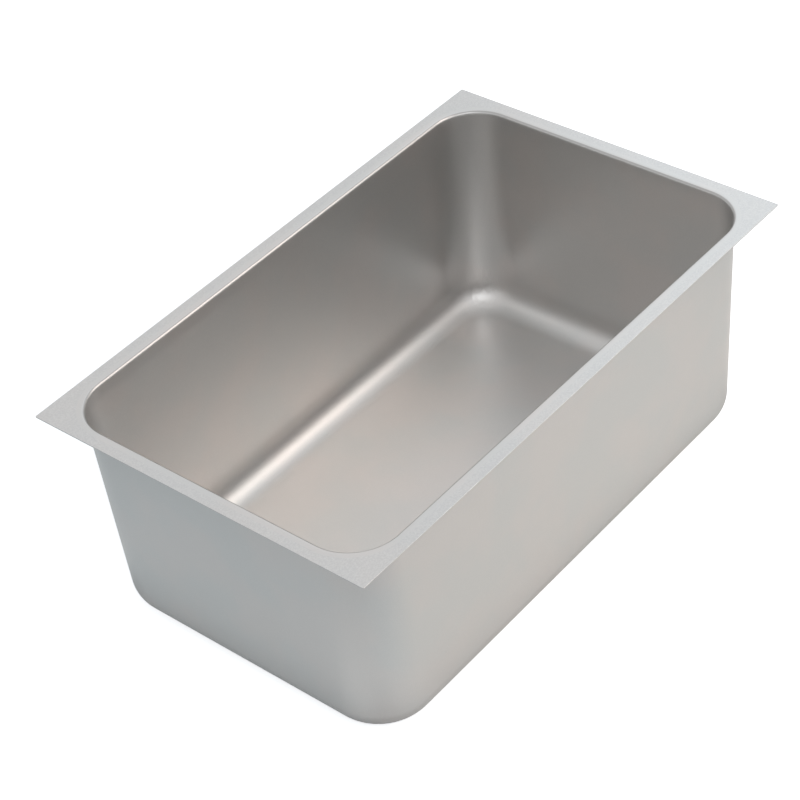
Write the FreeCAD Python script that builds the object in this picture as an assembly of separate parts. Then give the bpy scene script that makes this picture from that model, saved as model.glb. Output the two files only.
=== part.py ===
"""Bain-marie tank for one full-size food pan, in stainless sheet.

A drawn bowl hangs from a flat rim. The bowl's top edge is rolled outwards into a narrow
flat lip, the rim frame is cut from flat sheet, and one weld runs all the way round
between the two. The weld is ground flush on top and keeps its root bead underneath.

Millimetres. +X runs along the tank, +Y across it and +Z up. The origin is the centre
of the base, on the surface that the tank stands on.
"""

import FreeCAD
import Part

import math
import os

# Well
OPENING_LENGTH = 510.0
OPENING_WIDTH = 305.0
OPENING_CORNER_RADIUS = 42.0
OVERALL_HEIGHT = 209.0
END_DRAFT = math.radians(1.8)
SIDE_DRAFT = math.radians(0.4)
COVE_RADIUS = 25.0
FLOOR_FLAT_CORNER_RADIUS = 23.0

# Sheet and rim
SHEET = 1.0
RIM_WIDTH = 15.0
RIM_CORNER_RADIUS = 1.0
BEND_INNER_RADIUS = 1.5
LIP_WIDTH = 2.0

# Weld between lip and frame
WELD_WIDTH = 2.0
ROOT_SETBACK = 0.2
ROOT_HEIGHT = 0.4
ROOT_ROUNDING_SHARE = 0.7

# Worked out from the sizes above
BEND_OUTER_RADIUS = BEND_INNER_RADIUS + SHEET
LIP_REACH = BEND_OUTER_RADIUS + LIP_WIDTH
FRAME_REACH = LIP_REACH + WELD_WIDTH
FLOOR_CORNER_RADIUS = FLOOR_FLAT_CORNER_RADIUS + COVE_RADIUS
WELL_DEPTH = OVERALL_HEIGHT - SHEET
RIM_UNDERSIDE = OVERALL_HEIGHT - SHEET
ROOT_BOTTOM = RIM_UNDERSIDE - ROOT_HEIGHT

# Two places nearer to each other than this are one
SAME_PLACE = 1e-6

# The four corners, anticlockwise, as the sides of the tank that they lie on
CORNERS = ((1, 1), (-1, 1), (-1, -1), (1, -1))


def rounded_rectangle(length, width, radius, height):
    """Closed wire of a rounded rectangle round the Z axis, at one height."""
    diagonal = radius * math.sqrt(0.5)
    arcs = []
    for side_x, side_y in CORNERS:
        centre_x = side_x * (length / 2 - radius)
        centre_y = side_y * (width / 2 - radius)
        on_end = FreeCAD.Vector(side_x * length / 2, centre_y, height)
        on_side = FreeCAD.Vector(centre_x, side_y * width / 2, height)
        middle = FreeCAD.Vector(
            centre_x + side_x * diagonal, centre_y + side_y * diagonal, height
        )
        first, last = (on_end, on_side) if side_x == side_y else (on_side, on_end)
        arcs.append((first, middle, last))
    edges = []
    for arc, following in zip(arcs, arcs[1:] + arcs[:1]):
        edges.append(Part.Arc(*arc).toShape())
        edges.append(Part.LineSegment(arc[2], following[0]).toShape())
    return Part.Wire(edges)


def wall_outline(height, outwards):
    """The bowl wall's outline at one height, moved outwards from its inner face."""
    below_rim = OVERALL_HEIGHT - height
    end_inset = below_rim * math.tan(END_DRAFT)
    side_inset = below_rim * math.tan(SIDE_DRAFT)
    corner_growth = (FLOOR_CORNER_RADIUS - OPENING_CORNER_RADIUS) * below_rim / WELL_DEPTH
    return rounded_rectangle(
        OPENING_LENGTH + 2 * (outwards - end_inset),
        OPENING_WIDTH + 2 * (outwards - side_inset),
        OPENING_CORNER_RADIUS + corner_growth + outwards,
        height,
    )


def seam_outline(reach, height):
    """The opening's outline, moved outwards over the rim."""
    return rounded_rectangle(
        OPENING_LENGTH + 2 * reach,
        OPENING_WIDTH + 2 * reach,
        OPENING_CORNER_RADIUS + reach,
        height,
    )


def prism(wire, depth):
    """Solid that hangs from a flat wire."""
    return Part.Face(wire).extrude(FreeCAD.Vector(0, 0, -depth))


def ring(inner_reach, outer_reach, top, depth):
    """Flat ring round the opening, between two reaches from its edge."""
    outside = prism(seam_outline(outer_reach, top), depth)
    return outside.cut(prism(seam_outline(inner_reach, top), depth))


def level_edges(shape, height, reach):
    """The edges of a shape at one height that lie within a reach of the opening."""
    far_x = OPENING_LENGTH / 2 + reach + SAME_PLACE
    far_y = OPENING_WIDTH / 2 + reach + SAME_PLACE
    found = []
    for edge in shape.Edges:
        box = edge.BoundBox
        level = abs(box.ZMin - height) < SAME_PLACE and abs(box.ZMax - height) < SAME_PLACE
        within = max(box.XMax, -box.XMin) < far_x and max(box.YMax, -box.YMin) < far_y
        if level and within:
            found.append(edge)
    return found


def well_form(bottom, outwards, cove):
    """Solid of the well's inside or outside, from its bottom up to the rim's top."""
    outlines = [wall_outline(bottom, outwards), wall_outline(OVERALL_HEIGHT, outwards)]
    form = Part.makeLoft(outlines, True, True)
    return form.makeFillet(cove, level_edges(form, bottom, outwards))


def make_tank_bowl():
    """Drawn bowl: floor, cove, drafted walls, and a top edge rolled out into a lip."""
    lip = prism(seam_outline(LIP_REACH, OVERALL_HEIGHT), SHEET)
    outside = well_form(0, SHEET, COVE_RADIUS + SHEET)
    inside = well_form(SHEET, 0, COVE_RADIUS)
    blank = outside.fuse(lip).cut(inside).removeSplitter()
    bent = blank.makeFillet(BEND_OUTER_RADIUS, level_edges(blank, OVERALL_HEIGHT, 0))
    under_bend = level_edges(bent, RIM_UNDERSIDE, SHEET)
    return bent.makeFillet(BEND_INNER_RADIUS, under_bend)


def make_rim_frame():
    """Flat rim cut from sheet, square outside and rounded round the bowl's lip."""
    outline = rounded_rectangle(
        OPENING_LENGTH + 2 * RIM_WIDTH,
        OPENING_WIDTH + 2 * RIM_WIDTH,
        RIM_CORNER_RADIUS,
        OVERALL_HEIGHT,
    )
    window = prism(seam_outline(FRAME_REACH, OVERALL_HEIGHT), SHEET)
    return prism(outline, SHEET).cut(window)


def make_rim_weld():
    """Weld between lip and frame: flush on top, with a low rounded root underneath."""
    body = ring(LIP_REACH, FRAME_REACH, OVERALL_HEIGHT, SHEET)
    root_reach = FRAME_REACH - ROOT_SETBACK
    root = ring(LIP_REACH + ROOT_SETBACK, root_reach, RIM_UNDERSIDE, ROOT_HEIGHT)
    root_edges = level_edges(root, ROOT_BOTTOM, root_reach)
    rounded_root = root.makeFillet(ROOT_HEIGHT * ROOT_ROUNDING_SHARE, root_edges)
    return body.fuse(rounded_root).removeSplitter()


def main():
    """Write one file for each piece."""
    os.makedirs("parts", exist_ok=True)
    pieces = {
        "tank_bowl": make_tank_bowl(),
        "rim_frame": make_rim_frame(),
        "rim_weld": make_rim_weld(),
    }
    for name, shape in pieces.items():
        shape.exportStep(os.path.join("parts", name + ".step"))
        print(name, len(shape.Solids), "solid", round(shape.Volume), "mm3", shape.isValid())


main()
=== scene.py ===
"""Bain-marie tank in satin stainless sheet, dressed for a plain studio.

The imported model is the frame. Three pieces are modelled over it: the bowl with its rolled
lip and a drawn sheet's slight unevenness, the rim frame with its sheared edge broken, and
the weld with its rippled root. Each has a procedural finish.
Metres. +X runs along the tank, +Y across it and +Z up, with the base's centre at zero.
"""

import logging
import math
from dataclasses import dataclass
from enum import Enum
from typing import Iterable, Mapping, Sequence

import bmesh
import bpy
from mathutils import Matrix, Vector, noise


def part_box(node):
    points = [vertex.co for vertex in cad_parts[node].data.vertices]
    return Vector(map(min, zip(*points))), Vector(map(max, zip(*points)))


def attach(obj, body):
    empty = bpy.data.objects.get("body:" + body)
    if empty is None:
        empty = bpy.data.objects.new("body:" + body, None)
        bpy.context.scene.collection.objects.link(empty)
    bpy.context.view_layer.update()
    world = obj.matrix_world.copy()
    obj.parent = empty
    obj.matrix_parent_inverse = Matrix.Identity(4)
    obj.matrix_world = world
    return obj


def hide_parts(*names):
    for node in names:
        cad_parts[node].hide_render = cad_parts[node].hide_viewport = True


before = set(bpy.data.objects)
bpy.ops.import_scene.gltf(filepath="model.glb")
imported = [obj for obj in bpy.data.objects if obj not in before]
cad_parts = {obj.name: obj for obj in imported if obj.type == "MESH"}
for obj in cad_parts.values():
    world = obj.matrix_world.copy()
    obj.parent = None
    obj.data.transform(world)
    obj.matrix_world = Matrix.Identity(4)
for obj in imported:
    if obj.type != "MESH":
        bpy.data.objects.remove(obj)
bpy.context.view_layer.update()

LOG = logging.getLogger("tank")
ROOT_BODY = "root"
MILLIMETRE = 0.001
SAME_PLACE = 1e-6
MERGE_DISTANCE = 10 * SAME_PLACE
QUARTER_TURN = math.pi / 2
NOISE_MIDDLE = 0.5
TANK_MIDDLE = Vector((0.0, 0.0, 0.1))

# Scales that move vertices onto the tank's two middle planes
ONTO_LONG_PLANE = (1, 0, 1)
ONTO_CROSS_PLANE = (0, 1, 1)

# The numbers of the Mix node's sockets for colours
MIX_FIRST = 6
MIX_SECOND = 7
MIX_RESULT = 2

Triple = tuple[float, float, float]
Colour = Triple
ProfilePoint = tuple[float, float]


class Axis(Enum):
    """One of the tank's directions, by the letter that Blender gives it."""

    ALONG = "X"
    ACROSS = "Y"
    UP = "Z"


class Grain(Enum):
    """How a sheet's grain runs, as how much longer than wide its lines are on each axis."""

    NONE = (1.0, 1.0, 1.0)
    ALONG = (60.0, 1.0, 1.0)


class Rounded(Enum):
    """What a rounding works on, by Blender's name for it."""

    VERTICES = "VERTICES"
    EDGES = "EDGES"


def opaque(colour: Colour) -> tuple[float, float, float, float]:
    """Return a colour as a colour socket takes it, with an alpha of 1."""
    return (*colour, 1.0)


class Socket:
    """An output of a node, with arithmetic that adds Math nodes behind it."""

    def __init__(self, graph: "Graph", output: bpy.types.NodeSocket) -> None:
        """Wrap one output.

        Args:
            graph: The node tree that the output is in.
            output: The output itself.
        """
        self.graph = graph
        self.output = output

    def _math(self, operation: str, *operands: "Socket | float") -> "Socket":
        """Return a Math node's result for the operands."""
        inputs = dict(enumerate(operands))
        return self.graph.add("ShaderNodeMath", {"operation": operation}, inputs)

    def __add__(self, other: "Socket | float") -> "Socket":
        """Return self + other."""
        return self._math("ADD", self, other)

    __radd__ = __add__

    def __sub__(self, other: "Socket | float") -> "Socket":
        """Return self - other."""
        return self._math("SUBTRACT", self, other)

    def __rsub__(self, other: float) -> "Socket":
        """Return other - self."""
        return self._math("SUBTRACT", other, self)

    def __mul__(self, other: "Socket | float") -> "Socket":
        """Return self * other."""
        return self._math("MULTIPLY", self, other)

    __rmul__ = __mul__

    def absolute(self) -> "Socket":
        """Return the size of self without its sign."""
        return self._math("ABSOLUTE", self)

    def larger(self, other: "Socket") -> "Socket":
        """Return the larger of self and other."""
        return self._math("MAXIMUM", self, other)

    def step(self, low: float, high: float) -> "Socket":
        """Return a smooth rise from 0 at low to 1 at high, or a fall if low is above high.

        Args:
            low: The value of self at which the result is 0.
            high: The value of self at which the result is 1.

        Returns:
            A socket between 0 and 1.
        """
        rises = low < high
        inputs = {
            "Value": self,
            "From Min": min(low, high),
            "From Max": max(low, high),
            "To Min": 0.0 if rises else 1.0,
            "To Max": 1.0 if rises else 0.0,
        }
        return self.graph.add("ShaderNodeMapRange", {"interpolation_type": "SMOOTHSTEP"}, inputs)


class Graph:
    """A node tree that is filled from expressions."""

    def __init__(self, tree: bpy.types.NodeTree) -> None:
        """Empty the tree and keep it.

        Args:
            tree: The node tree of a material or a world.
        """
        self.tree = tree
        tree.nodes.clear()

    def add(
        self,
        kind: str,
        settings: Mapping[str, object] | None = None,
        inputs: Mapping[str | int, object] | None = None,
        output: str | int = 0,
    ) -> Socket | None:
        """Add one node.

        Args:
            kind: The node's type.
            settings: Its own settings, which are set before its sockets.
            inputs: Values or sockets for its inputs, by name or number.
            output: The output to return, by name or number.

        Returns:
            The wrapped output, or nothing from a node that has none.
        """
        node = self.tree.nodes.new(kind)
        for name, value in (settings or {}).items():
            setattr(node, name, value)
        for key, value in (inputs or {}).items():
            if isinstance(value, Socket):
                self.tree.links.new(value.output, node.inputs[key])
            else:
                node.inputs[key].default_value = value
        return Socket(self, node.outputs[output]) if node.outputs else None

    def place(self) -> Socket:
        """Return the object coordinates, which every pattern here is drawn on."""
        return self.add("ShaderNodeTexCoord", output="Object")

    def coordinate(self, place: Socket, axis: Axis) -> Socket:
        """Return one coordinate of a place."""
        return self.add("ShaderNodeSeparateXYZ", {}, {0: place}, axis.value)

    def noise(
        self, place: Socket, size: float, detail: float = 2.0, stretch: Triple = (1.0, 1.0, 1.0)
    ) -> Socket:
        """Return soft noise from 0 to 1.

        Args:
            place: The coordinates.
            size: The width of one patch.
            detail: How many finer octaves are added.
            stretch: How many times longer a patch is along each axis.

        Returns:
            The noise's value.
        """
        scale = tuple(1.0 / (size * times) for times in stretch)
        scaled = self.add("ShaderNodeMapping", {}, {"Vector": place, "Scale": scale})
        return self.add("ShaderNodeTexNoise", {}, {"Vector": scaled, "Scale": 1.0, "Detail": detail})

    def mix(self, factor: Socket, first: Colour | Socket, second: Colour | Socket) -> Socket:
        """Return a colour between two colours.

        Args:
            factor: 0 for the first colour and 1 for the second.
            first: The first colour.
            second: The second colour.

        Returns:
            The mixed colour.
        """
        ends = [value if isinstance(value, Socket) else opaque(value) for value in (first, second)]
        inputs = {0: factor, MIX_FIRST: ends[0], MIX_SECOND: ends[1]}
        return self.add("ShaderNodeMix", {"data_type": "RGBA"}, inputs, MIX_RESULT)


@dataclass(frozen=True)
class SatinSteel:
    """Satin stainless sheet: an even, slightly open finish with fine speckle and, if any, a grain.

    The two edges of patches and speckle are the noise's values from which and up to which
    one colour turns into the other.
    """

    name: str
    warm_colour: Colour = (0.588, 0.565, 0.550)
    cool_colour: Colour = (0.566, 0.562, 0.552)
    roughness: float = 0.38
    patch_size: float = 70.0 * MILLIMETRE
    patch_detail: float = 3.0
    patch_edges: tuple[float, float] = (0.38, 0.62)
    patch_roughness: float = 0.05
    speckle_size: float = 1.1 * MILLIMETRE
    speckle_edges: tuple[float, float] = (0.3, 0.8)
    speckle_colour: Colour = (0.70, 0.69, 0.67)
    speckle_tone: float = 0.16
    speckle_roughness: float = 0.06
    speckle_height: float = 0.02 * MILLIMETRE
    grain: Grain = Grain.NONE
    grain_width: float = 0.5 * MILLIMETRE
    grain_detail: float = 1.0
    grain_roughness: float = 0.05
    grain_height: float = 0.03 * MILLIMETRE

    def surface(self, graph: Graph, place: Socket) -> tuple[Socket, Socket, Socket]:
        """Return what changes over the sheet.

        Args:
            graph: The material's node tree.
            place: The object coordinates.

        Returns:
            The colour, the roughness and the height of the relief.
        """
        patches = graph.noise(place, self.patch_size, self.patch_detail)
        speckle = graph.noise(place, self.speckle_size)
        tint = graph.mix(patches.step(*self.patch_edges), self.warm_colour, self.cool_colour)
        specks = speckle.step(*self.speckle_edges) * self.speckle_tone
        colour = graph.mix(specks, tint, self.speckle_colour)
        roughness = self.roughness + (patches - NOISE_MIDDLE) * self.patch_roughness
        roughness = roughness + (speckle - NOISE_MIDDLE) * self.speckle_roughness
        relief = speckle * self.speckle_height
        if self.grain is not Grain.NONE:
            lines = graph.noise(place, self.grain_width, self.grain_detail, self.grain.value)
            roughness = roughness + (lines - NOISE_MIDDLE) * self.grain_roughness
            relief = relief + lines * self.grain_height
        return colour, roughness, relief

    def material(self) -> bpy.types.Material:
        """Return the finish as a material.

        Returns:
            The new material.
        """
        made = bpy.data.materials.new(self.name)
        made.use_nodes = True
        graph = Graph(made.node_tree)
        colour, roughness, relief = self.surface(graph, graph.place())
        normal = graph.add("ShaderNodeBump", {}, {"Strength": 1.0, "Distance": 1.0, "Height": relief})
        inputs = {"Base Color": colour, "Roughness": roughness, "Metallic": 1.0, "Normal": normal}
        shader = graph.add("ShaderNodeBsdfPrincipled", {}, inputs)
        graph.add("ShaderNodeOutputMaterial", {}, {"Surface": shader})
        return made


@dataclass(frozen=True)
class Band:
    """A span of heights above the base that fades in from its foot and out to its head."""

    foot: float
    full_from: float
    full_to: float
    head: float

    def mask(self, height: Socket) -> Socket:
        """Return 1 in the middle of the band and 0 outside it."""
        return height.step(self.foot, self.full_from) * height.step(self.head, self.full_to)


@dataclass(frozen=True)
class DrawnSteel(SatinSteel):
    """Satin sheet after drawing: duller on floor and cove, with a painted shade line where it bends to the
    lip.

    In each pair of heights or distances, a mark begins at the first and is full at the second.
    """

    floor_heights: tuple[float, float] = (4.0 * MILLIMETRE, 1.8 * MILLIMETRE)
    floor_dulling: float = 0.05
    cove: Band = Band(1.0 * MILLIMETRE, 6.0 * MILLIMETRE, 22.0 * MILLIMETRE, 34.0 * MILLIMETRE)
    cove_dulling: float = 0.06
    bend_start: Band = Band(204.0 * MILLIMETRE, 207.0 * MILLIMETRE, 207.6 * MILLIMETRE, 208.2 * MILLIMETRE)
    bend_start_dulling: float = 0.10
    bend: Band = Band(207.6 * MILLIMETRE, 208.1 * MILLIMETRE, 208.72 * MILLIMETRE, 208.92 * MILLIMETRE)
    bend_polish: float = 0.06
    # Painted shade on the bend to the lip: the darker colour and how strongly it is mixed in
    bend_painted_shade: Colour = (0.34, 0.33, 0.32)
    bend_painted_shade_strength: float = 0.75
    pucker_distances_along: tuple[float, float] = (205.0 * MILLIMETRE, 245.0 * MILLIMETRE)
    pucker_distances_across: tuple[float, float] = (105.0 * MILLIMETRE, 145.0 * MILLIMETRE)
    pucker_heights: tuple[float, float] = (55.0 * MILLIMETRE, 20.0 * MILLIMETRE)
    pucker_size: float = 3.5 * MILLIMETRE
    pucker_stretch: Triple = (1.0, 1.0, 3.0)
    pucker_relief: float = 0.6 * MILLIMETRE

    def surface(self, graph: Graph, place: Socket) -> tuple[Socket, Socket, Socket]:
        """Return what changes over the sheet, with the marks that drawing leaves and the painted shade at the
        bend.

        Args:
            graph: The material's node tree.
            place: The object coordinates.

        Returns:
            The colour, the roughness and the height of the relief.
        """
        colour, roughness, relief = super().surface(graph, place)
        height = graph.coordinate(place, Axis.UP)
        bent = self.bend.mask(height)
        # Painted shade: the bend's base colour is darkened to draw a shade line along the opening's edge
        colour = graph.mix(bent * self.bend_painted_shade_strength, colour, self.bend_painted_shade)
        roughness = roughness - bent * self.bend_polish
        roughness = roughness + height.step(*self.floor_heights) * self.floor_dulling
        roughness = roughness + self.cove.mask(height) * self.cove_dulling
        roughness = roughness + self.bend_start.mask(height) * self.bend_start_dulling
        return colour, roughness, relief + self.puckers(graph, place)

    def puckers(self, graph: Graph, place: Socket) -> Socket:
        """Return the height of the fine puckers at the floor's four corners.

        Args:
            graph: The material's node tree.
            place: The object coordinates.

        Returns:
            The height that they add to the relief.
        """
        near_end = graph.coordinate(place, Axis.ALONG).absolute().step(*self.pucker_distances_along)
        near_side = graph.coordinate(place, Axis.ACROSS).absolute().step(*self.pucker_distances_across)
        low = graph.coordinate(place, Axis.UP).step(*self.pucker_heights)
        fine = graph.noise(place, self.pucker_size, stretch=self.pucker_stretch)
        return near_end * near_side * low * fine * self.pucker_relief


def new_mesh_object(name: str, mesh: bmesh.types.BMesh, finish: bpy.types.Material) -> bpy.types.Object:
    """Make a piece from a finished mesh.

    Args:
        name: The piece's name.
        mesh: Its mesh, in place, which is freed.
        finish: Its material.

    Returns:
        The piece, at the origin.
    """
    data = bpy.data.meshes.new(name)
    mesh.to_mesh(data)
    mesh.free()
    data.materials.append(finish)
    piece = bpy.data.objects.new(name, data)
    bpy.context.scene.collection.objects.link(piece)
    return piece


def vertices_in(geometry: Iterable[object]) -> list[bmesh.types.BMVert]:
    """Return the vertices of an operator's result."""
    return [part for part in geometry if isinstance(part, bmesh.types.BMVert)]


def edges_in(geometry: Iterable[object]) -> list[bmesh.types.BMEdge]:
    """Return the edges of an operator's result."""
    return [part for part in geometry if isinstance(part, bmesh.types.BMEdge)]


def vertices_of(edges: Iterable[bmesh.types.BMEdge]) -> list[bmesh.types.BMVert]:
    """Return the vertices at the ends of some edges, each of them once."""
    return list(dict.fromkeys(vertex for edge in edges for vertex in edge.verts))


def shade(mesh: bmesh.types.BMesh, sharp_angle: float = math.radians(50)) -> None:
    """Shade a mesh smoothly, with creases where its faces meet steeply.

    Args:
        mesh: The mesh.
        sharp_angle: The angle between two faces above which their edge is a crease.
    """
    for face in mesh.faces:
        face.smooth = True
    for edge in mesh.edges:
        steep = len(edge.link_faces) == 2 and edge.calc_face_angle(0.0) > sharp_angle
        edge.smooth = not steep


def shade_by_area(piece: bpy.types.Object) -> None:
    """Let a piece's flat faces shade flat, and leave the turn to its rounded edges.

    Args:
        piece: The piece.
    """
    shading = piece.modifiers.new("shading_by_area", "WEIGHTED_NORMAL")
    shading.mode = "FACE_AREA"
    shading.keep_sharp = True


def chain(
    mesh: bmesh.types.BMesh, points: Sequence[ProfilePoint], closed: bool
) -> list[bmesh.types.BMEdge]:
    """Lay a profile of distances and heights in the XZ plane.

    Args:
        mesh: The mesh that it goes into.
        points: The distance from the corner's axis and the height of each point.
        closed: Whether the last point joins the first.

    Returns:
        The profile's edges.
    """
    made = [bmesh.ops.create_vert(mesh, co=(reach, 0, height))["vert"][0] for reach, height in points]
    following = made[1:] + made[:1] if closed else made[1:]
    return [mesh.edges.new(pair) for pair in zip(made, following)]


def spin_corner(
    mesh: bmesh.types.BMesh, geometry: Sequence[object], centre: Triple, steps: int
) -> list[object]:
    """Carry vertices and edges a quarter turn round an upright axis.

    Args:
        mesh: The mesh that they are in.
        geometry: The vertices and edges.
        centre: A point on the axis.
        steps: The number of steps in the turn.

    Returns:
        The geometry at the end of the turn.
    """
    spun = bmesh.ops.spin(
        mesh,
        geom=geometry,
        cent=centre,
        axis=(0, 0, 1),
        dvec=(0, 0, 0),
        angle=QUARTER_TURN,
        steps=steps,
        use_merge=False,
        use_normal_flip=False,
        use_duplicate=False,
    )
    return spun["geom_last"]


def run_to_middle(
    mesh: bmesh.types.BMesh, edges: list[bmesh.types.BMEdge], flatten: Triple, cuts: int
) -> None:
    """Extrude edges as far as one of the tank's middle planes and divide what they sweep.

    Args:
        mesh: The mesh.
        edges: The edges to extrude.
        flatten: The scale that puts the new vertices on the middle plane.
        cuts: The number of cuts across the new faces.
    """
    ends = vertices_in(bmesh.ops.extrude_edge_only(mesh, edges=edges)["geom"])
    bmesh.ops.scale(mesh, vec=flatten, verts=ends)
    on_plane = set(ends)
    long_edges = [
        edge
        for vertex in ends
        for edge in vertex.link_edges
        if edge.other_vert(vertex) not in on_plane
    ]
    bmesh.ops.subdivide_edges(mesh, edges=long_edges, cuts=cuts, use_grid_fill=True)


def sweep_round(
    mesh: bmesh.types.BMesh,
    profile: list[bmesh.types.BMEdge],
    steps: int,
    to_place: Matrix,
    cuts: tuple[int, int],
) -> None:
    """Carry a profile round a quarter of the opening: a corner and half of each side.

    Args:
        mesh: The mesh, holding only the profile, which stands in the XZ plane.
        profile: The profile's edges.
        steps: The number of steps round the corner.
        to_place: The transform that puts the spun corner in its place.
        cuts: The cuts across the half end wall and the half side wall.
    """
    last = spin_corner(mesh, vertices_of(profile) + profile, (0, 0, 0), steps)
    bmesh.ops.transform(mesh, matrix=to_place, verts=mesh.verts)
    run_to_middle(mesh, profile, ONTO_LONG_PLANE, cuts[0])
    run_to_middle(mesh, edges_in(last), ONTO_CROSS_PLANE, cuts[1])


def mirror_twice(mesh: bmesh.types.BMesh, left_out: Iterable[object] = ()) -> None:
    """Mirror a quarter to the whole, and close the seams.

    Args:
        mesh: The mesh.
        left_out: Vertices and edges in it that are no part of the quarter.
    """
    others = set(left_out)
    for axis in (Axis.ALONG, Axis.ACROSS):
        everything = mesh.verts[:] + mesh.edges[:] + mesh.faces[:]
        quarter = [part for part in everything if part not in others]
        bmesh.ops.mirror(
            mesh, geom=quarter, matrix=Matrix.Identity(4), merge_dist=SAME_PLACE, axis=axis.value
        )
    bmesh.ops.remove_doubles(mesh, verts=mesh.verts, dist=MERGE_DISTANCE)


def face_upwards(mesh: bmesh.types.BMesh, level: bmesh.types.BMFace) -> None:
    """Point a sheet's faces all one way, with a level one upwards.

    Args:
        mesh: The sheet, as a surface without thickness.
        level: The face of it that is to look upwards.
    """
    bmesh.ops.recalc_face_normals(mesh, faces=mesh.faces)
    if level.normal.z < 0:
        bmesh.ops.reverse_faces(mesh, faces=mesh.faces)


def round_off(
    mesh: bmesh.types.BMesh, geometry: Sequence[object], affect: Rounded, radius: float, segments: int
) -> None:
    """Round vertices or edges off.

    Args:
        mesh: The mesh that they are in.
        geometry: The vertices or edges.
        affect: Which of the two they are.
        radius: How far from them the rounding starts.
        segments: The number of faces or edges across it.
    """
    bmesh.ops.bevel(
        mesh,
        geom=geometry,
        affect=affect.value,
        offset=radius,
        offset_type="OFFSET",
        segments=segments,
        profile=0.5,
        material=-1,
    )


@dataclass
class RimPlan:
    """The sizes that the pieces round the opening share."""

    rim_width: float = 15.0 * MILLIMETRE
    corner_radius: float = 42.0 * MILLIMETRE
    weld_width: float = 2.0 * MILLIMETRE
    corner_steps: int = 24

    def __post_init__(self) -> None:
        """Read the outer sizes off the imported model."""
        low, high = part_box("rim_frame")
        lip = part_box("tank_bowl")[1]
        self.rim_half = Vector((high.x, high.y))
        self.half = Vector((high.x - self.rim_width, high.y - self.rim_width))
        self.top = high.z
        self.sheet = high.z - low.z
        self.lip_reach = lip.x - self.half.x
        self.frame_reach = self.lip_reach + self.weld_width
        self.corner_axis = Vector((self.half.x - self.corner_radius, self.half.y - self.corner_radius))


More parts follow.
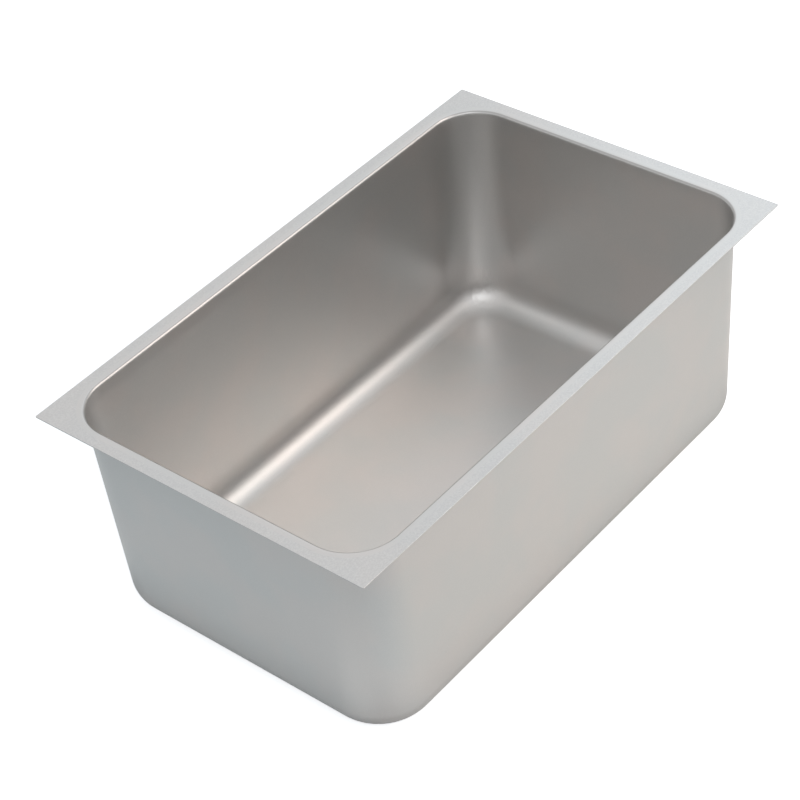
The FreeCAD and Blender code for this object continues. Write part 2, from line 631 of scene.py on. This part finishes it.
@dataclass
class TankBowl:
    """The drawn bowl: flat floor, cove, drafted walls and a top edge rolled into a lip."""

    plan: RimPlan
    floor_corner_radius: float = 48.0 * MILLIMETRE
    cove_radius: float = 25.0 * MILLIMETRE
    bend_radius: float = 2.5 * MILLIMETRE
    end_draft: float = math.radians(1.8)
    side_draft: float = math.radians(0.4)
    cove_steps: int = 14
    bend_steps: int = 6
    wall_steps: int = 12
    end_cuts: int = 7
    side_cuts: int = 13
    floor_rise: float = 0.5 * MILLIMETRE
    unevenness: float = 0.35 * MILLIMETRE
    waves_per_metre: float = 9.0

    def inset(self, height: float, draft: float) -> float:
        """Return how far a wall's inner face has come in from the opening's edge."""
        return (self.plan.top - height) * math.tan(draft)

    def corner_radius(self, height: float) -> float:
        """Return the upright corner's radius, which grows a little towards the floor.

        Args:
            height: The height above the base.

        Returns:
            The radius at that height.
        """
        growth = self.floor_corner_radius - self.plan.corner_radius
        share = (self.plan.top - height) / (self.plan.top - self.plan.sheet)
        return self.plan.corner_radius + growth * share

    def corner_axis(self, height: float) -> Vector:
        """Return where the upright corner's axis passes a height.

        Args:
            height: The height above the base.

        Returns:
            The place, along and across the tank.
        """
        drafts = (self.end_draft, self.side_draft)
        insets = Vector([self.inset(height, draft) + self.corner_radius(height) for draft in drafts])
        return self.plan.half - insets

    @staticmethod
    def arc(centre: ProfilePoint, radius: float, start: float, turn: float, steps: int) -> list[ProfilePoint]:
        """Return points along an arc of the profile.

        Args:
            centre: The inset and height of its centre.
            radius: Its radius.
            start: The angle at which it starts, from straight outwards.
            turn: The angle that it runs through, above 0 where that is from outwards to upwards.
            steps: The number of steps in it.

        Returns:
            The inset and height of each point.
        """
        angles = [start + turn * step / steps for step in range(steps + 1)]
        return [
            (centre[0] - radius * math.cos(angle), centre[1] + radius * math.sin(angle))
            for angle in angles
        ]

    def profile(self) -> list[ProfilePoint]:
        """Return the inner face from the corner's axis to the lip.

        It has the mean of the two drafts, and is sheared to each wall's own later.

        Returns:
            The distance from the corner's axis and the height of each point.
        """
        plan = self.plan
        draft = (self.end_draft + self.side_draft) / 2
        turn = QUARTER_TURN - draft
        cove_height = plan.sheet + self.cove_radius
        cove_inset = self.inset(cove_height, draft) + self.cove_radius / math.cos(draft)
        cove = self.arc((cove_inset, cove_height), self.cove_radius, -QUARTER_TURN, turn, self.cove_steps)
        bend_height = plan.top - self.bend_radius
        bend_inset = self.inset(bend_height, draft) - self.bend_radius / math.cos(draft)
        bend = self.arc((bend_inset, bend_height), self.bend_radius, math.pi - draft, -turn, self.bend_steps)
        foot = cove[-1][1]
        rise = bend_height + self.bend_radius * math.sin(draft) - foot
        heights = [foot + rise * step / self.wall_steps for step in range(1, self.wall_steps)]
        wall = [(self.inset(height, draft), height) for height in heights]
        axis = (self.inset(plan.sheet, draft) + self.corner_radius(plan.sheet), plan.sheet)
        points = [axis, *cove, *wall, *bend, (-plan.lip_reach, plan.top)]
        return [
            (self.inset(height, draft) + self.corner_radius(height) - inset, height)
            for inset, height in points
        ]

    def corner_transform(self) -> Matrix:
        """Return the shear that leans the spun corner with the walls and puts it in place.

        Returns:
            The transform.
        """
        foot, head = self.plan.sheet, self.plan.top
        lean = (self.corner_axis(head) - self.corner_axis(foot)) / (head - foot)
        start = self.corner_axis(foot) - lean * foot
        height_column, shift_column = 2, 3
        sheared = Matrix.Identity(4)
        for row in range(2):
            sheared[row][height_column] = lean[row]
            sheared[row][shift_column] = start[row]
        return sheared

    def close_floor(self, mesh: bmesh.types.BMesh) -> None:
        """Fill the middle of the floor between the two strips.

        Args:
            mesh: The quarter bowl.
        """
        foot = self.plan.sheet
        axis = self.corner_axis(foot)
        inner = [
            edge
            for edge in mesh.edges
            if edge.is_boundary
            and all(abs(vertex.co.x - axis.x) < SAME_PLACE for vertex in edge.verts)
            and all(abs(vertex.co.z - foot) < SAME_PLACE for vertex in edge.verts)
            and all(vertex.co.y < axis.y + SAME_PLACE for vertex in edge.verts)
        ]
        run_to_middle(mesh, inner, ONTO_CROSS_PLANE, self.side_cuts)

    def settle(self, mesh: bmesh.types.BMesh) -> None:
        """Let the sheet stand a little uneven, as drawn sheet does, and true at its rim.

        Args:
            mesh: The bowl's inner face.
        """
        foot, head = self.plan.sheet, self.plan.top
        wall_foot, wall_head = foot + self.cove_radius, head - self.bend_radius
        for vertex in mesh.verts:
            place = vertex.co.copy()
            if wall_foot < place.z < wall_head:
                swell = math.sin(math.pi * (place.z - wall_foot) / (wall_head - wall_foot))
                wave = noise.noise(place * self.waves_per_metre) * self.unevenness * swell
                vertex.co.x += wave
                vertex.co.y += wave
            if abs(place.z - foot) < SAME_PLACE:
                along = math.cos(QUARTER_TURN * min(1.0, abs(place.x) / self.plan.half.x))
                across = math.cos(QUARTER_TURN * min(1.0, abs(place.y) / self.plan.half.y))
                vertex.co.z += self.floor_rise * along * across

    def build(self, finish: bpy.types.Material) -> bpy.types.Object:
        """Return the dressed bowl.

        Args:
            finish: Its material.

        Returns:
            The piece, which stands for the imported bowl.
        """
        mesh = bmesh.new()
        edges = chain(mesh, self.profile(), closed=False)
        cuts = (self.end_cuts, self.side_cuts)
        sweep_round(mesh, edges, self.plan.corner_steps, self.corner_transform(), cuts)
        self.close_floor(mesh)
        mirror_twice(mesh)
        self.settle(mesh)
        face_upwards(mesh, min(mesh.faces, key=lambda face: face.calc_center_median().length))
        bmesh.ops.solidify(mesh, geom=mesh.faces[:], thickness=self.plan.sheet)
        shade(mesh)
        piece = new_mesh_object("bowl_shell", mesh, finish)
        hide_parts("tank_bowl")
        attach(piece, ROOT_BODY)
        return piece


@dataclass
class RimFrame:
    """The flat rim: square outside, rounded inside, with its sheared edge broken."""

    plan: RimPlan
    corner_radius: float = 1.0 * MILLIMETRE
    corner_segments: int = 4
    broken_edge: float = 0.15 * MILLIMETRE
    edge_segments: int = 2
    edge_angle: float = math.radians(60)

    def outline(self, mesh: bmesh.types.BMesh) -> list[bmesh.types.BMEdge]:
        """Lay the outer edge as a rounded rectangle.

        Args:
            mesh: The mesh that it goes into, still empty.

        Returns:
            Its edges.
        """
        corners = bmesh.ops.create_grid(mesh, x_segments=1, y_segments=1, size=1.0)["verts"]
        size = (self.plan.rim_half.x, self.plan.rim_half.y, 1.0)
        bmesh.ops.scale(mesh, vec=size, verts=corners)
        bmesh.ops.translate(mesh, vec=(0, 0, self.plan.top), verts=corners)
        round_off(mesh, corners, Rounded.VERTICES, self.corner_radius, self.corner_segments)
        bmesh.ops.delete(mesh, geom=mesh.faces[:], context="FACES_ONLY")
        return mesh.edges[:]

    def window(self, mesh: bmesh.types.BMesh) -> list[bmesh.types.BMEdge]:
        """Lay the inner edge as a rounded rectangle.

        Args:
            mesh: The mesh that it goes into, which holds only the outer edge.

        Returns:
            Its edges.
        """
        outer = set(mesh.verts[:] + mesh.edges[:])
        plan = self.plan
        radius = plan.corner_radius + plan.frame_reach
        centre = (plan.corner_axis.x, plan.corner_axis.y, plan.top)
        first = bmesh.ops.create_vert(mesh, co=(centre[0] + radius, centre[1], centre[2]))["vert"]
        last = vertices_in(spin_corner(mesh, first, centre, plan.corner_steps))
        for ends, flatten in ((first, ONTO_LONG_PLANE), (last, ONTO_CROSS_PLANE)):
            made = bmesh.ops.extrude_vert_indiv(mesh, verts=ends)["verts"]
            bmesh.ops.scale(mesh, vec=flatten, verts=made)
        mirror_twice(mesh, outer)
        return [edge for edge in mesh.edges if edge not in outer]

    def is_outer_edge(self, edge: bmesh.types.BMEdge) -> bool:
        """Say whether an edge is one of the two that run round the outside.

        Args:
            edge: An edge of the frame's plate.

        Returns:
            Whether it is level and steep, and lies beyond the window.
        """
        level = abs(edge.verts[0].co.z - edge.verts[1].co.z) < SAME_PLACE
        steep = edge.calc_face_angle(0.0) > self.edge_angle
        inside = self.plan.half + Vector((self.plan.frame_reach, self.plan.frame_reach))
        beyond = any(
            abs(vertex.co.x) > inside.x + SAME_PLACE or abs(vertex.co.y) > inside.y + SAME_PLACE
            for vertex in edge.verts
        )
        return level and steep and beyond

    def build(self, finish: bpy.types.Material) -> bpy.types.Object:
        """Return the dressed frame.

        Args:
            finish: Its material.

        Returns:
            The piece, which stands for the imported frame.
        """
        mesh = bmesh.new()
        outer = self.outline(mesh)
        inner = self.window(mesh)
        bmesh.ops.bridge_loops(mesh, edges=outer + inner)
        face_upwards(mesh, mesh.faces[:][0])
        bmesh.ops.solidify(mesh, geom=mesh.faces[:], thickness=self.plan.sheet)
        sheared = [edge for edge in mesh.edges if self.is_outer_edge(edge)]
        round_off(mesh, sheared, Rounded.EDGES, self.broken_edge, self.edge_segments)
        shade(mesh)
        piece = new_mesh_object("rim_plate", mesh, finish)
        shade_by_area(piece)
        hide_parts("rim_frame")
        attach(piece, ROOT_BODY)
        return piece


@dataclass
class RimWeld:
    """The weld between lip and frame: ground flush on top, with a rippled root below."""

    plan: RimPlan
    root_setback: float = 0.2 * MILLIMETRE
    root_height: float = 0.4 * MILLIMETRE
    root_steps: int = 6
    ripple_height: float = 0.06 * MILLIMETRE
    ripple_length: float = 2.2 * MILLIMETRE
    steps_per_ripple: int = 2

    def steps_along(self, length: float) -> int:
        """Return how many steps a length of the seam is divided into."""
        return round(self.steps_per_ripple * length / self.ripple_length)

    def ripple(self, mesh: bmesh.types.BMesh, underside: float) -> None:
        """Raise and lower the root in even ripples along the seam.

        Args:
            mesh: The weld.
            underside: The height of the sheet's underside, from which the root hangs.
        """
        for vertex in mesh.verts:
            depth = underside - vertex.co.z
            if depth < SAME_PLACE:
                continue
            run = vertex.co.x if abs(vertex.co.x) < self.plan.corner_axis.x else vertex.co.y
            wave = math.cos(2 * math.pi * run / self.ripple_length)
            vertex.co.z -= self.ripple_height * wave * depth / self.root_height

    def build(self, finish: bpy.types.Material) -> bpy.types.Object:
        """Return the dressed weld.

        Args:
            finish: Its material.

        Returns:
            The piece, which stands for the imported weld.
        """
        plan = self.plan
        inner, outer = (plan.corner_radius + reach for reach in (plan.lip_reach, plan.frame_reach))
        underside = plan.top - plan.sheet
        middle = (inner + outer) / 2
        half_root = (outer - inner) / 2 - self.root_setback
        points = [(inner, underside), (inner, plan.top), (outer, plan.top), (outer, underside)]
        for step in range(self.root_steps + 1):
            angle = math.pi * step / self.root_steps
            drop = self.root_height * math.sin(angle)
            points.append((middle + half_root * math.cos(angle), underside - drop))
        mesh = bmesh.new()
        edges = chain(mesh, points, closed=True)
        to_place = Matrix.Translation((plan.corner_axis.x, plan.corner_axis.y, 0))
        cuts = (self.steps_along(plan.corner_axis.y), self.steps_along(plan.corner_axis.x))
        sweep_round(mesh, edges, self.steps_along(QUARTER_TURN * middle), to_place, cuts)
        mirror_twice(mesh)
        self.ripple(mesh, underside)
        bmesh.ops.recalc_face_normals(mesh, faces=mesh.faces)
        shade(mesh)
        piece = new_mesh_object("weld_seam", mesh, finish)
        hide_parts("rim_weld")
        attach(piece, ROOT_BODY)
        return piece


@dataclass(frozen=True)
class Softbox:
    """A square lamp that hangs at a distance from the tank's middle and faces it."""

    name: str
    azimuth: float
    elevation: float
    distance: float
    size: float
    radiance: float
    colour: Colour

    def build(self) -> bpy.types.Object:
        """Hang the lamp.

        Returns:
            The lamp.
        """
        light = bpy.data.lights.new(self.name, "AREA")
        light.shape = "SQUARE"
        light.size = self.size
        light.energy = math.pi * self.size**2 * self.radiance
        light.color = self.colour
        lamp = bpy.data.objects.new(self.name, light)
        level = math.cos(self.elevation) * self.distance
        away = Vector((math.cos(self.azimuth) * level, math.sin(self.azimuth) * level, 0))
        away.z = math.sin(self.elevation) * self.distance
        lamp.location = TANK_MIDDLE + away
        lamp.rotation_euler = (-away).to_track_quat("-Z", "Y").to_euler()
        bpy.context.scene.collection.objects.link(lamp)
        return lamp


KEY_LAMP = Softbox(
    name="key",
    azimuth=math.radians(308),
    elevation=math.radians(45),
    distance=1.6,
    size=0.8,
    radiance=2.3,
    colour=(1.0, 0.905, 0.83),
)
FILL_LAMP = Softbox(
    name="fill",
    azimuth=math.radians(233),
    elevation=math.radians(44),
    distance=2.0,
    size=0.5,
    radiance=6.3,
    colour=(0.95, 0.97, 0.99),
)
LOW_LAMP = Softbox(
    name="low",
    azimuth=math.radians(303),
    elevation=math.radians(18),
    distance=1.6,
    size=1.18,
    radiance=1.3,
    colour=(1.0, 0.905, 0.82),
)
SIDE_LAMP = Softbox(
    name="side",
    azimuth=math.radians(18),
    elevation=math.radians(38),
    distance=1.8,
    size=0.8,
    radiance=0.55,
    colour=(0.80, 0.92, 1.0),
)


@dataclass
class Studio:
    """A pale floor, a white background and four soft lamps.

    What metal sees of the floor is a pool of light round the tank, in end_glow off its end
    at low X and in side_glow elsewhere, and dark under the tank and far out.
    """

    plan: RimPlan
    floor_half: float = 6.0
    floor_colour: Colour = (0.80, 0.80, 0.80)
    floor_glow: Colour = (0.985, 0.99, 1.0)
    camera_glow: float = 0.72
    end_glow: Colour = (0.90, 0.98, 1.0)
    side_glow: Colour = (1.0, 0.95, 0.86)
    dark: Colour = (0.0, 0.0, 0.0)
    metal_glow: float = 0.30
    glow_change: tuple[float, float] = (-0.30, -0.10)
    pool_centre: Triple = (0.10, 0.10, 0.0)
    pool_radii: tuple[float, float] = (0.72, 0.44)
    shade_outside: float = 45.0 * MILLIMETRE
    shade_inside: float = 15.0 * MILLIMETRE
    white: Colour = (0.97, 0.985, 1.0)
    world_tint: Colour = (0.86, 0.94, 1.0)
    world_light: float = 0.46
    lamps: tuple[Softbox, ...] = (KEY_LAMP, FILL_LAMP, LOW_LAMP, SIDE_LAMP)

    @staticmethod
    def looks(graph: Graph) -> tuple[Socket, Socket]:
        """Return how a ray that meets the surroundings started out.

        Args:
            graph: The node tree of the floor or the world.

        Returns:
            1 where the camera looks straight at them, and 1 where it looks by way of metal or glass.
        """
        camera, glossy, through = (
            graph.add("ShaderNodeLightPath", {}, {}, name)
            for name in ("Is Camera Ray", "Is Glossy Ray", "Is Transmission Ray")
        )
        return camera, glossy + through

    def shaded(self, distance: Socket, half: float) -> Socket:
        """Return 1 under the tank, as measured from its middle in one direction, and 0 beyond it."""
        return distance.absolute().step(half + self.shade_outside, half - self.shade_inside)

    def pool(self, graph: Graph) -> Socket:
        """Return the floor's brightness round the tank: dark under it, and fading far out.

        Args:
            graph: The floor's node tree.

        Returns:
            The brightness, from 0 to 1.
        """
        place = graph.place()
        half = self.plan.half
        under_along = self.shaded(graph.coordinate(place, Axis.ALONG), half.x)
        under_across = self.shaded(graph.coordinate(place, Axis.ACROSS), half.y)
        ends = {0: place, 1: self.pool_centre}
        far = graph.add("ShaderNodeVectorMath", {"operation": "DISTANCE"}, ends, "Value")
        return (1.0 - under_along * under_across) * far.step(*self.pool_radii)

    def floor(self) -> bpy.types.Object:
        """Make the floor, which looks pale to the camera and to metal, and keeps shadows.

        Returns:
            The floor, which isn't part of the object.
        """
        mesh = bmesh.new()
        bmesh.ops.create_grid(mesh, x_segments=1, y_segments=1, size=self.floor_half)
        made = bpy.data.materials.new("pale_floor")
        made.use_nodes = True
        graph = Graph(made.node_tree)
        camera, metal = self.looks(graph)
        matt = graph.add("ShaderNodeBsdfDiffuse", {}, {"Color": opaque(self.floor_colour)})
        inputs = {"Color": opaque(self.floor_glow), "Strength": camera * self.camera_glow}
        seen = graph.add("ShaderNodeEmission", {}, inputs)
        beside = graph.coordinate(graph.place(), Axis.ALONG).step(*self.glow_change)
        tone = graph.mix(beside, self.end_glow, self.side_glow)
        pool = graph.mix(self.pool(graph), self.dark, tone)
        mirrored = graph.add("ShaderNodeEmission", {}, {"Color": pool, "Strength": metal * self.metal_glow})
        glow = graph.add("ShaderNodeAddShader", {}, {0: seen, 1: mirrored})
        shader = graph.add("ShaderNodeAddShader", {}, {0: matt, 1: glow})
        graph.add("ShaderNodeOutputMaterial", {}, {"Surface": shader})
        piece = new_mesh_object("studio_floor", mesh, made)
        return piece

    def world(self) -> None:
        """Give the world its soft light, and a white background for the camera and for metal."""
        world = bpy.data.worlds.new("studio")
        bpy.context.scene.world = world
        world.use_nodes = True
        graph = Graph(world.node_tree)
        camera, metal = self.looks(graph)
        inputs = {"Color": opaque(self.world_tint), "Strength": self.world_light}
        light = graph.add("ShaderNodeBackground", {}, inputs)
        white = graph.add("ShaderNodeBackground", {}, {"Color": opaque(self.white), "Strength": 1.0})
        shader = graph.add("ShaderNodeMixShader", {}, {0: camera.larger(metal), 1: light, 2: white})
        graph.add("ShaderNodeOutputWorld", {}, {"Surface": shader})

    def build(self) -> None:
        """Set up the floor, the world and the lamps."""
        self.floor()
        self.world()
        for lamp in self.lamps:
            lamp.build()


@dataclass
class PhotoCamera:
    """The camera at the photograph's place, with its lens and its slight roll."""

    place: Vector = Vector((-1.0756, -0.9941, 1.3534))
    direction: Vector = Vector((0.55197, 0.52722, -0.64604))
    roll: float = math.radians(6.846)
    lens: float = 103.86
    sensor: float = 36.0
    clip_start: float = 0.05

    def build(self) -> None:
        """Make the camera and give it to the scene."""
        data = bpy.data.cameras.new("photo_camera")
        data.lens = self.lens
        data.sensor_width = self.sensor
        data.clip_start = self.clip_start
        camera = bpy.data.objects.new("photo_camera", data)
        level = self.direction.to_track_quat("-Z", "Y").to_matrix()
        turned = level @ Matrix.Rotation(-self.roll, 3, "Z")
        camera.matrix_world = Matrix.Translation(self.place) @ turned.to_4x4()
        bpy.context.scene.collection.objects.link(camera)
        bpy.context.scene.camera = camera


def main() -> None:
    """Build the tank, the studio and the camera."""
    logging.basicConfig(level=logging.INFO)
    bpy.context.scene.view_settings.view_transform = "Standard"
    plan = RimPlan()
    bowl_steel = DrawnSteel("bowl_satin_steel")
    rim_steel = SatinSteel(
        "rim_satin_steel",
        warm_colour=(0.550, 0.536, 0.526),
        cool_colour=(0.536, 0.532, 0.528),
        speckle_size=1.4 * MILLIMETRE,
        speckle_tone=0.45,
        grain=Grain.ALONG,
    )
    weld_steel = SatinSteel("weld_steel")
    pieces = (
        TankBowl(plan).build(bowl_steel.material()),
        RimFrame(plan).build(rim_steel.material()),
        RimWeld(plan).build(weld_steel.material()),
    )
    for piece in pieces:
        LOG.info("%s has %d faces", piece.name, len(piece.data.polygons))
    Studio(plan).build()
    PhotoCamera().build()


if __name__ == "__main__":
    main()
